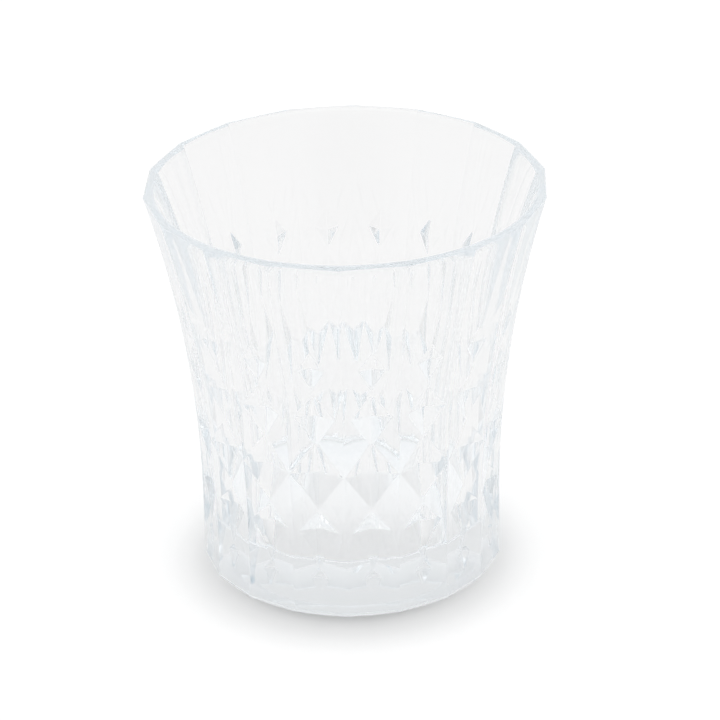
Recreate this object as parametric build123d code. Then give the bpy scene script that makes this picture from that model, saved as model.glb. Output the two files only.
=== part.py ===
from build123d import *
import os
from math import cos, radians, sin, sqrt

# Whiskey tumbler, pressed in one piece of clear glass.
# Millimetres. +Z is up, the origin is the centre of the foot on the surface that it stands on,
# and a corner of the foot points along -Y.

# Outside: a straight foot that flares to the rim, with flat panels all round
HEIGHT = 92.0
PANELS = 18
FOOT_RADIUS = 34.9  # from the axis to a corner of the foot
FLARE_START = 17.5  # the wall stands upright below this height
FLARE_ARC = 272.0  # radius of the arc that each corner ridge follows above it
FOOT_ROUNDING = 0.4
WALL_SPANS = 10  # even steps of height between the outlines that the flared wall runs through

# Each panel dips a little along its middle line where the wall is cut
DIP = 0.63
DIP_BEGINS = 5.0
DIP_FULL_FROM = 20.0
DIP_FULL_TO = 48.0
DIP_ENDS = 80.0

# Diamond cuts, one above another on the middle line of each panel: height of the deepest point,
# its depth below the panel, and how far the cut leans out with the flare of the wall.
# One V-shaped tool makes them all, so a deeper cut is a larger one.
# The third row reaches from ridge to ridge.
CUTS = [(9.4, 0.9, 0.0), (21.2, 1.85, 0.0), (35.8, 2.45, 0.0), (51.0, 1.9, 0.08), (63.9, 1.4, 0.15)]
RISE_DOWN = 0.237  # rise of the valley line out of the glass, per millimetre going down, before it leans
RISE_UP = 0.349  # the same going up
RISE_SIDE_LOW = 0.53  # sideways rise of the two lower facets
RISE_SIDE_HIGH = 0.48  # sideways rise of the two upper facets
CUT_REACH = 7.0  # how far each cutting pyramid is carried out of the glass

# Inside: a smooth round bowl
FLOOR_THICKNESS = 11.4
BOWL_RADIUS = 28.5  # at the bottom of the wall
BOWL_UPRIGHT = 15.0  # height where the inner wall stands upright
BOWL_ARC = 214.0  # radius of the arc that the inner wall follows above it
BOWL_CORNER = 1.2  # rounding between the floor and the wall

RIM_ROUNDING = 0.6  # on both edges of the rim

# Underside: a shallow dished centre, so that the glass stands on a flat ring
DISH_RADIUS = 26.0
DISH_DEPTH = 0.7

HALF_STEP = 180.0 / PANELS
OVERSHOOT = 3.0


def corner_radius(z):
    """Distance from the axis to a corner ridge at height z."""
    climb = max(z - FLARE_START, 0.0)
    return FOOT_RADIUS + FLARE_ARC - sqrt(FLARE_ARC**2 - climb**2)


def bowl_radius(z):
    """Radius of the bowl at height z."""
    climb = max(z - BOWL_UPRIGHT, 0.0)
    return BOWL_RADIUS + BOWL_ARC - sqrt(BOWL_ARC**2 - climb**2)


def smooth_step(t):
    t = min(max(t, 0.0), 1.0)
    return t * t * (3.0 - 2.0 * t)


def dip(z):
    """How far the middle line of a panel lies below the straight line between its two ridges."""
    rising = smooth_step((z - DIP_BEGINS) / (DIP_FULL_FROM - DIP_BEGINS))
    falling = smooth_step((DIP_ENDS - z) / (DIP_ENDS - DIP_FULL_TO))
    return DIP * rising * falling


def panel_radius(z):
    """Distance from the axis to the middle line of an uncut panel at height z."""
    return corner_radius(z) * cos(radians(HALF_STEP)) - dip(z)


def around(radius, degrees, z):
    """Point at an angle from -Y, counted towards +X."""
    return Vector(radius * sin(radians(degrees)), -radius * cos(radians(degrees)), z)


def outline(z):
    """Closed outline of the outside at height z: a corner, the middle of a panel, a corner ..."""
    points = []
    for i in range(PANELS):
        corner = 2 * i * HALF_STEP
        points.append(around(corner_radius(z), corner, z))
        points.append(around(panel_radius(z), corner + HALF_STEP, z))
    return Face(Wire.make_polygon(points, close=True))


def foot():
    """Upright bottom of the outside, with its lower edge rounded off."""
    corners = [around(FOOT_RADIUS, 2 * i * HALF_STEP, 0.0) for i in range(PANELS)]
    block = extrude(Face(Wire.make_polygon(corners, close=True)), DIP_BEGINS)
    return fillet(block.edges().group_by(Axis.Z)[0], FOOT_ROUNDING)


def flared_wall():
    """Outside from the foot to the rim, through outlines at even heights."""
    step = (HEIGHT - DIP_BEGINS) / WALL_SPANS
    return loft([outline(DIP_BEGINS + i * step) for i in range(WALL_SPANS + 1)])


def cutting_pyramid(height, depth, lean, degrees):
    """Four-sided pyramid that points into the glass, its tip at the deepest point of one cut."""
    tip_radius = panel_radius(height) - depth
    rise_down = RISE_DOWN - lean
    rise_up = RISE_UP + lean
    rises = RISE_SIDE_LOW * rise_up + RISE_SIDE_HIGH * rise_down
    half_width = CUT_REACH * (rise_up + rise_down) / rises
    side_lift = (RISE_SIDE_LOW * half_width - CUT_REACH) / rise_down

    def corner(sideways, up):
        out = around(tip_radius + CUT_REACH, degrees, height + up)
        return out + around(sideways, degrees + 90.0, 0.0)

    base = [
        corner(0.0, -CUT_REACH / rise_down),
        corner(half_width, side_lift),
        corner(0.0, CUT_REACH / rise_up),
        corner(-half_width, side_lift),
    ]
    tip = around(tip_radius, degrees, height)
    faces = [Face(Wire.make_polygon(base, close=True))]
    for i in range(4):
        faces.append(Face(Wire.make_polygon([base[i], base[(i + 1) % 4], tip], close=True)))
    return Solid(Shell(faces))


def bowl():
    """Space for the drink, carried past the rim."""
    top = HEIGHT + OVERSHOOT
    middle = (BOWL_UPRIGHT + top) / 2
    corner_top = FLOOR_THICKNESS + BOWL_CORNER
    floor_edge = BOWL_RADIUS - BOWL_CORNER
    corner_mid = BOWL_CORNER * (1 - sqrt(0.5))
    profile = Polyline((0, top), (0, FLOOR_THICKNESS), (floor_edge, FLOOR_THICKNESS))
    profile += ThreePointArc(
        (floor_edge, FLOOR_THICKNESS),
        (BOWL_RADIUS - corner_mid, FLOOR_THICKNESS + corner_mid),
        (BOWL_RADIUS, corner_top),
    )
    profile += ThreePointArc(
        (BOWL_RADIUS, corner_top),
        (bowl_radius(middle), middle),
        (bowl_radius(top), top),
    )
    profile += Line((bowl_radius(top), top), (0, top))
    return revolve(Plane.XZ * make_face(profile), Axis.Z)


def underside_dish():
    """Shallow cap of a large ball, taken out of the middle of the underside."""
    ball_radius = (DISH_RADIUS**2 + DISH_DEPTH**2) / (2 * DISH_DEPTH)
    return Pos(0, 0, DISH_DEPTH - ball_radius) * Sphere(ball_radius)


def glass_body():
    glass = foot() + flared_wall()
    glass = fillet(glass.edges().group_by(Axis.Z)[-1], RIM_ROUNDING)
    glass -= bowl()
    glass = fillet(glass.edges().filter_by(GeomType.CIRCLE).group_by(Axis.Z)[-1], RIM_ROUNDING)
    glass -= underside_dish()
    pyramids = []
    for i in range(PANELS):
        for height, depth, lean in CUTS:
            pyramids.append(cutting_pyramid(height, depth, lean, (2 * i + 1) * HALF_STEP))
    return glass - pyramids


os.makedirs("parts", exist_ok=True)
body = glass_body()
print("glass volume in ml:", round(body.volume / 1000, 1), " solids:", len(body.solids()))
export_step(body, "parts/glass_body.step")
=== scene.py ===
import bpy
import numpy as np
from math import cos, pi, radians, sin, sqrt
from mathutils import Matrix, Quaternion, Vector


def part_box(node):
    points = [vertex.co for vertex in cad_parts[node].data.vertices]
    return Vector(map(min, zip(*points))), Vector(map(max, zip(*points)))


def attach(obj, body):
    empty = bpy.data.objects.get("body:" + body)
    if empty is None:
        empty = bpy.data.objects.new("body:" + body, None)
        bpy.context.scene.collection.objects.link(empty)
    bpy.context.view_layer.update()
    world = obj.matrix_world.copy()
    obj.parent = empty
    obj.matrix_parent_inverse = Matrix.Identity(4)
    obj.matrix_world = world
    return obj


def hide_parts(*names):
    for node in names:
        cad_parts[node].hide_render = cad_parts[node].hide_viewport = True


# Whiskey tumbler in clear pressed glass. Metres, +Z up, origin at the centre of the foot.
# Angles are counted from -Y, the camera's side, towards +X.
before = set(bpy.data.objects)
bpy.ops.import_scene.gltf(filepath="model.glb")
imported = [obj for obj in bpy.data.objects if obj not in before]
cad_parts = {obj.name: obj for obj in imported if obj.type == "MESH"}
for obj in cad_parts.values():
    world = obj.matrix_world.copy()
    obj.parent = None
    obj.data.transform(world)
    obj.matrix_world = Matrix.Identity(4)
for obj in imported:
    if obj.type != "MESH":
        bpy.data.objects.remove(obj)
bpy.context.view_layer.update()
foot_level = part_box("glass_body")[0][2]
rim_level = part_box("glass_body")[1][2]

# Outside: 18 panels with a corner ridge between each two, upright at the foot, flaring to the rim
HEIGHT = rim_level - foot_level
PANELS = 18
HALF_STEP = pi / PANELS
FOOT_RADIUS = 0.0349  # to a corner ridge
FLARE_START = 0.0175
FLARE_ARC = 0.272
FOOT_ROUNDING = 0.0004

# A panel dips along its middle line where the wall is cut
DIP = 0.00063
DIP_BEGINS = 0.005
DIP_FULL_FROM = 0.020
DIP_FULL_TO = 0.048
DIP_ENDS = 0.080

# Diamond cuts up the middle of a panel: height of the deepest point, its depth below the panel,
# and how far the cut leans out with the flare of the wall
CUTS = [
    (0.0094, 0.0009, 0.0),
    (0.0212, 0.00185, 0.0),
    (0.0358, 0.00245, 0.0),
    (0.0510, 0.0019, 0.08),
    (0.0639, 0.0014, 0.15),
]
RISE_DOWN = 0.237  # rise of the valley line out of the glass, going down, before it leans
RISE_UP = 0.349  # the same going up
RISE_SIDE_LOW = 0.53  # sideways rise of the two lower facets
RISE_SIDE_HIGH = 0.48  # sideways rise of the two upper facets

# Fire-polished edges
SOFT_RIDGE = 0.00005  # the two sides of a ridge blend where their heights differ by less than this
SOFT_CUT = 0.00009  # the same for the edges of a cut
SOFT_VALLEY = 0.00015  # half-width of the rounded bottom of a valley

# Inside
FLOOR_THICKNESS = 0.0114
BOWL_RADIUS = 0.0285
BOWL_UPRIGHT = 0.015
BOWL_ARC = 0.214
BOWL_CORNER = 0.0012

# Rim and underside
LIP_HEIGHT = 0.0006
DISH_RADIUS = 0.026
DISH_DEPTH = 0.0007

# How finely the mesh is divided
ROW_STEP = 0.0013
ROW_FINE = 0.00015  # between the rows on both sides of a crease
CREASE_WIDTH = 0.00022  # the columns on both sides of a crease keep within this
RIDGE_WIDTH = 0.00018
LEAST_GAP = 0.00001
LEAST_ROW = 0.7 * ROW_FINE  # rows closer than this are one row
ROWS_LEVEL_AT_FOOT = 0.004  # the rows turn level over this height above the foot
ROWS_LEVEL_AT_RIM = 0.008  # and over this height below the rim
CUT_REACH = 0.020  # no cut reaches further up or down from its deepest point
OVERLAP_REACH = 0.012  # nor runs into the cut below it further down than this
BELOW_THE_CUTS = CUTS[0][0] - 0.0032  # beyond these two heights the columns spread over the uncut panel
ABOVE_THE_CUTS = CUTS[-1][0] + 0.016
SPREAD = 0.8  # how fast they do
WALL_SEARCH = 0.006  # the outside lies less than this inside the corner ridges
WALL_SEARCH_SPAN = 0.007
PROBE = 0.0000001  # step for working out a normal
BISECTIONS = 40
FOOT_STEPS = 6
FLAT_RING_SHARES = (0.1, 0.4, 0.7, 1.0)  # rings of points on the flat ring, as shares of its width
DISH_RINGS = 14
LIP_STEPS = 14
BOWL_STEPS = 33
CORNER_STEPS = 9
FLOOR_STEPS = 9
CENTRE_RING = 0.0015  # radius of the innermost ring of the floor and of the underside

# Look of the glass
GLASS_IOR = 1.52
ABSORPTION_COLOUR = (0.0, 0.3, 0.5, 1.0)
ABSORPTION = 1.15  # per metre in the red
RIPPLE_SCALE = 110.0
RIPPLE_DETAIL = 2.0
RIPPLE_HEIGHT = 0.000002
ROUGH_FROM = 0.5  # values of the ripple where the roughness starts to grow and is at its most
ROUGH_TO = 0.8
ROUGHNESS_LEAST = 0.035
ROUGHNESS_MOST = 0.095

# Table
TABLE_HALF = 3.0
TABLE_GAP = 0.0001  # the table lies a hair below the foot, so the two flat faces don't coincide
PAINTED_GLOW = 0.13  # painted light: the table glows this much more where the camera sees it directly
UNDER_FRONT = 0.82  # painted shade: brightness of the table under the dish of the foot, towards the camera
UNDER_BACK = 1.0  # and away from it
UNDER_DEPTH = 0.014  # half of the way between the two
UNDER_RING = 1.0  # painted light: brightness of the table under the flat ring of the foot
RING_FROM = 0.026  # distances from the axis between which the ring takes over from the dish
RING_FULL = 0.030
UNDER_FULL_TO = 0.0335  # from here, outwards, the painted shadow around the foot takes over
UNDER_ENDS = 0.0346
SHADE_CENTRE = -0.007  # the painted shadow around the foot falls a little to the camera's side
SHADE_REACH = 0.060
# Distance from the middle of that painted shadow, and brightness of the table there
SHADE = [
    (0.0280, 0.48),
    (0.0306, 0.63),
    (0.0330, 0.705),
    (0.0353, 0.755),
    (0.0376, 0.81),
    (0.0400, 0.855),
    (0.0423, 0.89),
    (0.0446, 0.915),
    (0.0470, 0.93),
    (0.0520, 0.945),
    (0.0580, 0.95),
]

# Light
BACKDROP = 1.1  # the tent where the camera sees it directly, over-exposed as the table is by its painted glow
SKY = 0.83
SOFTBOX = 1.27
SOFTBOX_AIM = (0.0, -0.2, 0.98)  # direction of its middle, from the glass
SOFTBOX_EDGE = 0.72  # cosines of the angles from its middle where its light ends and is full
SOFTBOX_FULL = 0.88
HORIZON = 1.12  # the tent is lighter near the table, as a share of the sky
HORIZON_TO = 0.35  # sine of the elevation where that ends
FRONT = 0.70  # the dim room low behind the camera, as a share of the rest
FRONT_FROM = 0.80  # how far a direction points towards the camera's side where it starts
FRONT_TO = 0.97  # and where it is dimmest
PASSES = 64  # times that light may pass or mirror in the glass
DIFFUSE_PASSES = 8

# Camera
SENSOR_WIDTH = 36.0
LENS = 147.93
EYE = (0.02859, -0.60169, 0.35757)
LOOKED_AT = (0.00245, 0.00012, 0.04735)
TURN = -1.124  # degrees about the line of sight


def smooth_step(t):
    t = np.clip(t, 0.0, 1.0)
    return t * t * (3.0 - 2.0 * t)


def blend(a, b, t):
    return a + (b - a) * t


def arc_flare(radius, arc, start, z):
    """Radius at height z of a wall that stands upright up to the start, then follows an arc out."""
    return radius + arc - np.sqrt(arc**2 - np.maximum(z - start, 0.0) ** 2)


def arc_slope(arc, start, z):
    return (z - start) / sqrt(arc**2 - (z - start) ** 2)


def corner_radius(z):
    """Distance from the axis to a corner ridge at height z."""
    return arc_flare(FOOT_RADIUS, FLARE_ARC, FLARE_START, z)


def bowl_radius(z):
    return arc_flare(BOWL_RADIUS, BOWL_ARC, BOWL_UPRIGHT, z)


def dip(z):
    rising = smooth_step((z - DIP_BEGINS) / (DIP_FULL_FROM - DIP_BEGINS))
    falling = smooth_step((DIP_ENDS - z) / (DIP_ENDS - DIP_FULL_TO))
    return DIP * rising * falling


def foot_inset(z):
    """How far the rounded lower edge of the foot draws the wall in."""
    drop = np.clip(FOOT_ROUNDING - z, 0.0, FOOT_ROUNDING)
    return FOOT_ROUNDING - np.sqrt(FOOT_ROUNDING**2 - drop**2)


def soft_min(a, b, width):
    """The smaller of two, rounded where they differ by less than the width."""
    near = np.maximum(width - np.abs(a - b), 0.0)
    return np.minimum(a, b) - near**2 / (4.0 * width)


def soft_max(a, b, width):
    return -soft_min(-a, -b, width)


def soft_abs(x):
    x = np.abs(x)
    return np.where(x < SOFT_VALLEY, x**2 / (2 * SOFT_VALLEY) + SOFT_VALLEY / 2, x)


def panel_middle(z):
    return corner_radius(z) * cos(HALF_STEP) - dip(z)


def land(x, z, side=soft_abs):
    """Distance out from the axis of the uncut panel, x being the distance from its middle line."""
    return panel_middle(z) - foot_inset(z) + dip(z) * side(x) / (corner_radius(z) * sin(HALF_STEP))


def cut(x, z, one, side=soft_abs):
    """The same for the four facets of one diamond cut."""
    height, depth, lean = one
    low = RISE_SIDE_LOW * side(x) - (RISE_DOWN - lean) * (z - height)
    high = RISE_SIDE_HIGH * side(x) + (RISE_UP + lean) * (z - height)
    return panel_middle(height) - depth + soft_max(low, high, SOFT_CUT)


def sharp_cuts(x, z):
    """The deepest of the cuts, without rounding."""
    return np.minimum.reduce([cut(x, z, one, np.abs) for one in CUTS])


def panel(x, z):
    surface = land(x, z)
    for one in CUTS:
        surface = soft_min(surface, cut(x, z, one), SOFT_CUT)
    return surface


def beyond(radius, angle, z):
    """How far a point lies outside the glass, measured along the nearest panel's normal.
    The angle here is counted from the middle of a panel, up to the ridge at HALF_STEP."""
    here = radius * np.cos(angle) - panel(radius * np.sin(angle), z)
    other = 2 * HALF_STEP - angle
    there = radius * np.cos(other) - panel(radius * np.sin(other), z)
    return soft_max(here, there, SOFT_RIDGE)


def crossing(holds, low, high):
    """Where a condition that holds at low stops holding, on the way to high."""
    for _ in range(BISECTIONS):
        middle = (low + high) / 2
        still = holds(middle)
        low = np.where(still, middle, low)
        high = np.where(still, high, middle)
    return (low + high) / 2


def outer_radius(angle, z):
    """Where the outside surface lies at this angle and height."""
    deepest = corner_radius(z) - WALL_SEARCH

    def within(radius):
        return beyond(radius, angle, z) < 0

    return crossing(within, deepest, deepest + WALL_SEARCH_SPAN)


def outside_normal(angle, radius, z):
    """Normal of the outside in the panel's own frame: sideways, out, up."""
    x = radius * np.sin(angle)
    out = radius * np.cos(angle)
    slopes = []
    for dx, dy, dz in np.eye(3) * PROBE:
        ahead = beyond(np.hypot(x + dx, out + dy), np.arctan2(x + dx, out + dy), z + dz)
        behind = beyond(np.hypot(x - dx, out - dy), np.arctan2(x - dx, out - dy), z - dz)
        slopes.append(ahead - behind)
    normal = np.stack(slopes, axis=-1)
    return normal / np.linalg.norm(normal, axis=-1, keepdims=True)


def rows_around(z):
    return [z + i * ROW_FINE for i in (-2, -1, 0, 1, 2)]


def row_heights():
    """Heights of the mesh rows at the middle of a panel: every crease has rows of its own."""
    keys = [FOOT_ROUNDING, HEIGHT - LIP_HEIGHT]
    top_below = 0.0
    for one in CUTS:
        height = one[0]

        def inside(z, one=one):
            return cut(0.0, z, one, np.abs) < land(0.0, z, np.abs)

        def shared(z, one=one):
            return cut(0.0, z, one, np.abs) > sharp_cuts(0.0, z)

        bottom = float(crossing(inside, height, height - CUT_REACH))
        top = float(crossing(inside, height, height + CUT_REACH))
        if bottom < top_below:
            keys += rows_around(float(crossing(shared, height - OVERLAP_REACH, height)))
        keys += [bottom, top] + rows_around(height)
        top_below = top
    rows = []
    for key in sorted(keys):
        if not rows:
            rows = [key]
        elif key - rows[-1] > LEAST_ROW:
            steps = max(1, round((key - rows[-1]) / ROW_STEP))
            rows += list(np.linspace(rows[-1], key, steps + 1)[1:])
    return np.array(rows)


def row_slope(z):
    """The crease across a cut rises towards its side tips, and the mesh rows rise with it."""
    tilt = (RISE_SIDE_LOW - RISE_SIDE_HIGH) / (RISE_UP + RISE_DOWN)
    above_foot = smooth_step((z - FOOT_ROUNDING) / ROWS_LEVEL_AT_FOOT)
    below_rim = smooth_step((HEIGHT - LIP_HEIGHT - z) / ROWS_LEVEL_AT_RIM)
    return tilt * above_foot * below_rim


def half_columns(z, slope):
    """Distances from the middle line out to the ridge of the mesh columns, for each row."""
    width = corner_radius(z) * sin(HALF_STEP)

    def inside(x):
        return sharp_cuts(x, z + slope * x) < land(x, z + slope * x, np.abs)

    edge = crossing(inside, 0 * z, width)
    uncut = SPREAD * np.maximum(BELOW_THE_CUTS - z, z - ABOVE_THE_CUTS)
    edge = np.maximum(edge, np.clip(uncut, 0.0, width / 2))
    columns = [
        0 * z,
        0 * z + SOFT_VALLEY / 2,
        0 * z + SOFT_VALLEY,
        (edge + SOFT_VALLEY - CREASE_WIDTH) / 2,
        edge - CREASE_WIDTH,
        edge - CREASE_WIDTH / 2,
        edge,
        edge + CREASE_WIDTH / 2,
        edge + CREASE_WIDTH,
        (edge + CREASE_WIDTH + width - RIDGE_WIDTH) / 2,
        width - RIDGE_WIDTH,
        width - RIDGE_WIDTH / 2,
        width,
    ]
    for i in range(1, len(columns) - 1):
        columns[i] = np.maximum(columns[i], columns[i - 1] + LEAST_GAP)
    for i in reversed(range(1, len(columns) - 1)):
        columns[i] = np.minimum(columns[i], columns[i + 1] - LEAST_GAP)
    return np.stack(columns, axis=1)


def whole_panel(half, sign=1.0):
    """A half panel and its mirror image, from one ridge up to the next."""
    return np.concatenate([sign * half[:, :0:-1], half[:, :-1]], axis=1)


def wall():
    """Angle, radius, height and normal of every point of the outside wall, row by row."""
    turns = np.linspace(0, pi / 2, FOOT_STEPS + 1)[1:-1]
    middle = np.concatenate([FOOT_ROUNDING * (1 - np.cos(turns)), row_heights()])
    slope = row_slope(middle)
    x = half_columns(middle, slope)
    z = middle[:, None] + slope[:, None] * x
    angle = np.minimum(np.arctan2(x, land(x, z, np.abs)), HALF_STEP)
    angle[:, -1] = HALF_STEP
    radius = outer_radius(angle, z)
    sideways, out, up = np.moveaxis(outside_normal(angle, radius, z), -1, 0)
    centres = (2 * np.arange(PANELS) + 1) * HALF_STEP
    side = whole_panel(sideways, -1.0)
    ahead = whole_panel(out)
    normals = []
    for c in centres:
        along_x = side * cos(c) + ahead * sin(c)
        along_y = side * sin(c) - ahead * cos(c)
        normals.append(np.stack([along_x, along_y, whole_panel(up)], axis=-1))
    angles = np.concatenate([whole_panel(angle, -1.0) + c for c in centres], axis=1)
    radii = np.tile(whole_panel(radius), PANELS)
    heights = np.tile(whole_panel(z), PANELS)
    return angles, radii, heights, np.concatenate(normals, axis=1)


def ring(angle, radius, z):
    return np.stack([radius * np.sin(angle), -radius * np.cos(angle), z + 0 * angle], axis=-1)


def underside_rings(even, first_angle, foot_edge):
    """From the middle of the dish out to the edge of the flat ring that the glass stands on."""
    ball = (DISH_RADIUS**2 + DISH_DEPTH**2) / (2 * DISH_DEPTH)
    rings = []
    for r in np.linspace(CENTRE_RING, DISH_RADIUS, DISH_RINGS):
        rings.append(ring(even, r, sqrt(ball**2 - r**2) - (ball - DISH_DEPTH)))
    for share in FLAT_RING_SHARES:
        angle = blend(even, first_angle, share)
        rings.append(ring(angle, blend(DISH_RADIUS, foot_edge, share), 0.0))
    return rings


def lip_rings(even, last_angle, last_radius):
    """Over the rim, from the panelled outside to the round bowl."""
    start = HEIGHT - LIP_HEIGHT
    inner = bowl_radius(start)
    outer_lean = arc_slope(FLARE_ARC, FLARE_START, HEIGHT)
    inner_lean = arc_slope(BOWL_ARC, BOWL_UPRIGHT, HEIGHT)
    rings = []
    for t in np.linspace(0, 1, LIP_STEPS + 1)[1:]:
        up = LIP_HEIGHT * sin(pi * t)
        across = blend(last_radius, inner, (1 - cos(pi * t)) / 2)
        radius = across + up * blend(outer_lean, inner_lean, t)
        rings.append(ring(blend(last_angle, even, t), radius, start + up))
    return rings


def bowl_rings(even):
    """Down the inside, round the corner and in over the floor of the bowl."""
    corner_top = FLOOR_THICKNESS + BOWL_CORNER
    rings = []
    for h in np.linspace(HEIGHT - LIP_HEIGHT, corner_top, BOWL_STEPS + 1)[1:]:
        rings.append(ring(even, bowl_radius(h), h))
    for a in np.linspace(0, pi / 2, CORNER_STEPS + 1)[1:]:
        radius = BOWL_RADIUS - BOWL_CORNER * (1 - cos(a))
        rings.append(ring(even, radius, corner_top - BOWL_CORNER * sin(a)))
    for r in np.linspace(BOWL_RADIUS - BOWL_CORNER, CENTRE_RING, FLOOR_STEPS + 1)[1:]:
        rings.append(ring(even, r, FLOOR_THICKNESS))
    return rings


def add_object(name, points, faces):
    mesh = bpy.data.meshes.new(name)
    mesh.from_pydata(points, [], faces)
    thing = bpy.data.objects.new(name, mesh)
    bpy.context.collection.objects.link(thing)
    return thing


def build_tumbler():
    angle, radius, z, normal = wall()
    columns = angle.shape[1]
    even = angle[0, 0] + np.arange(columns) * 2 * pi / columns
    foot_edge = radius[0] - FOOT_ROUNDING + foot_inset(z[0])
    below = underside_rings(even, angle[0], foot_edge)
    above = lip_rings(even, angle[-1], radius[-1]) + bowl_rings(even)
    rings = below + list(ring(angle, radius, z)) + above
    low_centre = len(rings) * columns
    high_centre = low_centre + 1
    points = np.vstack(rings + [[0, 0, DISH_DEPTH], [0, 0, FLOOR_THICKNESS]])

    faces = []
    for i in range(len(rings) - 1):
        here = i * columns
        above_here = here + columns
        for j in range(columns):
            k = (j + 1) % columns
            faces.append((here + j, here + k, above_here + k, above_here + j))
    for j in range(columns):
        k = (j + 1) % columns
        faces.append((low_centre, k, j))
        faces.append((high_centre, low_centre - columns + j, low_centre - columns + k))

    # Exact normals on the faceted wall. A zero vector leaves the normal to Blender.
    normals = np.zeros_like(points)
    first = len(below) * columns
    normals[first:first + angle.size] = normal.reshape(-1, 3)

    tumbler = add_object("tumbler", points.tolist(), faces)
    mesh = tumbler.data
    mesh.polygons.foreach_set("use_smooth", [True] * len(mesh.polygons))
    mesh.normals_split_custom_set_from_vertices(normals.tolist())
    tumbler.location.z = foot_level
    return tumbler


def map_range(nodes, links, source, low, high, to_low, to_high, style="SMOOTHSTEP"):
    node = nodes.new("ShaderNodeMapRange")
    node.interpolation_type = style
    node.inputs["From Min"].default_value = low
    node.inputs["From Max"].default_value = high
    node.inputs["To Min"].default_value = to_low
    node.inputs["To Max"].default_value = to_high
    links.new(source, node.inputs["Value"])
    return node.outputs["Result"]


def product(nodes, links, a, b):
    node = nodes.new("ShaderNodeMath")
    node.operation = "MULTIPLY"
    links.new(a, node.inputs[0])
    links.new(b, node.inputs[1])
    return node.outputs["Value"]


def distance_from(nodes, links, centre):
    place = nodes.new("ShaderNodeTexCoord")
    away = nodes.new("ShaderNodeVectorMath")
    away.operation = "DISTANCE"
    away.inputs[1].default_value = centre
    links.new(place.outputs["Object"], away.inputs[0])
    return away.outputs["Value"]


def clear_glass():
    """Clear glass with a faint blue tint in its thickness and the slight ripple of a pressing."""
    material = bpy.data.materials.new("clear_glass")
    material.use_nodes = True
    nodes = material.node_tree.nodes
    links = material.node_tree.links
    shader = nodes["Principled BSDF"]
    shader.inputs["Base Color"].default_value = (1.0, 1.0, 1.0, 1.0)
    shader.inputs["IOR"].default_value = GLASS_IOR
    shader.inputs["Transmission Weight"].default_value = 1.0

    place = nodes.new("ShaderNodeTexCoord")
    ripple = nodes.new("ShaderNodeTexNoise")
    ripple.inputs["Scale"].default_value = RIPPLE_SCALE
    ripple.inputs["Detail"].default_value = RIPPLE_DETAIL
    links.new(place.outputs["Object"], ripple.inputs["Vector"])
    bump = nodes.new("ShaderNodeBump")
    bump.inputs["Strength"].default_value = 1.0
    bump.inputs["Distance"].default_value = RIPPLE_HEIGHT
    links.new(ripple.outputs["Fac"], bump.inputs["Height"])
    links.new(bump.outputs["Normal"], shader.inputs["Normal"])

    roughness = map_range(
        nodes, links, ripple.outputs["Fac"],
        ROUGH_FROM, ROUGH_TO, ROUGHNESS_LEAST, ROUGHNESS_MOST, "LINEAR",
    )
    links.new(roughness, shader.inputs["Roughness"])

    volume = nodes.new("ShaderNodeVolumeAbsorption")
    volume.inputs["Color"].default_value = ABSORPTION_COLOUR
    volume.inputs["Density"].default_value = ABSORPTION
    links.new(volume.outputs["Volume"], nodes["Material Output"].inputs["Volume"])
    return material


def table():
    """White table with a soft contact shadow painted into its colour, darkest along the foot."""
    level = foot_level - TABLE_GAP
    corners = [(-1, -1), (1, -1), (1, 1), (-1, 1)]
    points = [(x * TABLE_HALF, y * TABLE_HALF, level) for x, y in corners]
    plane = add_object("table", points, [(0, 1, 2, 3)])
    material = bpy.data.materials.new("table")
    material.use_nodes = True
    nodes = material.node_tree.nodes
    links = material.node_tree.links
    shader = nodes["Principled BSDF"]
    shader.inputs["Roughness"].default_value = 1.0
    shader.inputs["Specular IOR Level"].default_value = 0.0

    # Painted contact shadow: the table's colour darkens towards the foot
    ramp = nodes.new("ShaderNodeValToRGB")
    stops = ramp.color_ramp.elements
    while len(stops) < len(SHADE):
        stops.new(0.5)
    for stop, (distance, value) in zip(stops, SHADE):
        stop.position = distance / SHADE_REACH
        stop.color = (value, value, value, 1.0)
    away = distance_from(nodes, links, (0.0, SHADE_CENTRE, level))
    along = map_range(nodes, links, away, 0.0, SHADE_REACH, 0.0, 1.0, "LINEAR")
    links.new(along, ramp.inputs["Fac"])

    place = nodes.new("ShaderNodeTexCoord")
    axes = nodes.new("ShaderNodeSeparateXYZ")
    links.new(place.outputs["Object"], axes.inputs["Vector"])
    # Painted shade under the dish of the foot, darker towards the camera, and painted light under its
    # flat ring
    painted_shade_under_dish = map_range(
        nodes, links, axes.outputs["Y"],
        -UNDER_DEPTH, UNDER_DEPTH, UNDER_FRONT, UNDER_BACK,
    )
    from_axis = distance_from(nodes, links, (0.0, 0.0, level))
    under = nodes.new("ShaderNodeMix")
    in_ring = map_range(nodes, links, from_axis, RING_FROM, RING_FULL, 0.0, 1.0)
    links.new(in_ring, under.inputs["Factor"])
    links.new(painted_shade_under_dish, under.inputs["A"])
    under.inputs["B"].default_value = UNDER_RING
    mix = nodes.new("ShaderNodeMix")
    mix.data_type = "RGBA"
    factor, painted_light_and_shade_under_foot, painted_shadow_around_foot = mix.inputs[0], mix.inputs[6], mix.inputs[7]
    outside = map_range(nodes, links, from_axis, UNDER_FULL_TO, UNDER_ENDS, 0.0, 1.0)
    links.new(outside, factor)
    links.new(under.outputs["Result"], painted_light_and_shade_under_foot)
    links.new(ramp.outputs["Color"], painted_shadow_around_foot)
    colour = mix.outputs[2]
    links.new(colour, shader.inputs["Base Color"])

    # Painted glow: the table gives off extra light where the camera sees it directly
    path = nodes.new("ShaderNodeLightPath")
    seen = path.outputs["Is Camera Ray"]
    painted_glow = map_range(nodes, links, seen, 0.0, 1.0, 0.0, PAINTED_GLOW, "LINEAR")
    links.new(colour, shader.inputs["Emission Color"])
    links.new(painted_glow, shader.inputs["Emission Strength"])
    plane.data.materials.append(material)


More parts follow.
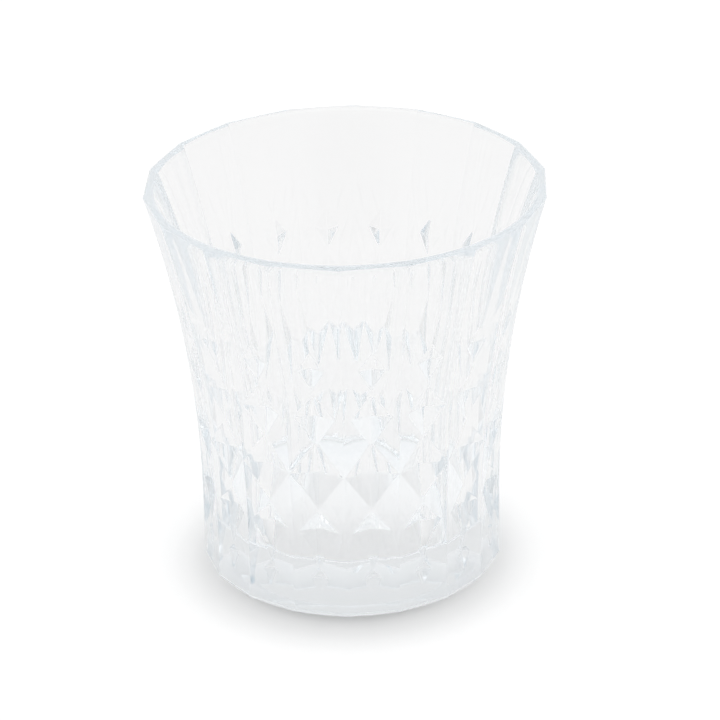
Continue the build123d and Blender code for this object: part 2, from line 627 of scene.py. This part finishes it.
def studio_light():
    """White tent with a broad softbox overhead and the dim room behind the camera."""
    world = bpy.data.worlds.new("studio")
    bpy.context.scene.world = world
    world.use_nodes = True
    nodes = world.node_tree.nodes
    links = world.node_tree.links
    place = nodes.new("ShaderNodeTexCoord")
    axes = nodes.new("ShaderNodeSeparateXYZ")
    links.new(place.outputs["Generated"], axes.inputs["Vector"])
    aim = nodes.new("ShaderNodeVectorMath")
    aim.operation = "DOT_PRODUCT"
    aim.inputs[1].default_value = SOFTBOX_AIM
    links.new(place.outputs["Generated"], aim.inputs[0])
    towards = aim.outputs["Value"]
    softbox = map_range(nodes, links, towards, SOFTBOX_EDGE, SOFTBOX_FULL, SKY, SOFTBOX)
    horizon = map_range(nodes, links, axes.outputs["Z"], 0.0, HORIZON_TO, HORIZON, 1.0)
    front = map_range(nodes, links, axes.outputs["Y"], -FRONT_TO, -FRONT_FROM, FRONT, 1.0)
    strength = product(nodes, links, product(nodes, links, softbox, horizon), front)
    nodes["Background"].inputs["Color"].default_value = (1.0, 1.0, 1.0, 1.0)

    path = nodes.new("ShaderNodeLightPath")
    shown = nodes.new("ShaderNodeMix")
    links.new(path.outputs["Is Camera Ray"], shown.inputs["Factor"])
    links.new(strength, shown.inputs["A"])
    shown.inputs["B"].default_value = BACKDROP
    links.new(shown.outputs["Result"], nodes["Background"].inputs["Strength"])


def camera():
    data = bpy.data.cameras.new("camera")
    data.sensor_width = SENSOR_WIDTH
    data.lens = LENS
    eye = bpy.data.objects.new("camera", data)
    bpy.context.collection.objects.link(eye)
    eye.location = EYE
    look = (Vector(LOOKED_AT) - eye.location).to_track_quat("-Z", "Y")
    eye.rotation_mode = "QUATERNION"
    eye.rotation_quaternion = look @ Quaternion((0, 0, 1), radians(TURN))
    bpy.context.scene.camera = eye


def picture_settings():
    """Light passes many times through thick faceted glass before it comes out."""
    bpy.context.scene.view_settings.view_transform = "Standard"
    cycles = bpy.context.scene.cycles
    cycles.max_bounces = PASSES
    cycles.diffuse_bounces = DIFFUSE_PASSES
    cycles.glossy_bounces = PASSES
    cycles.transmission_bounces = PASSES
    cycles.blur_glossy = 0.0


camera()
picture_settings()
studio_light()
table()
tumbler = build_tumbler()
tumbler.data.materials.append(clear_glass())
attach(tumbler, "root")
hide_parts("glass_body")
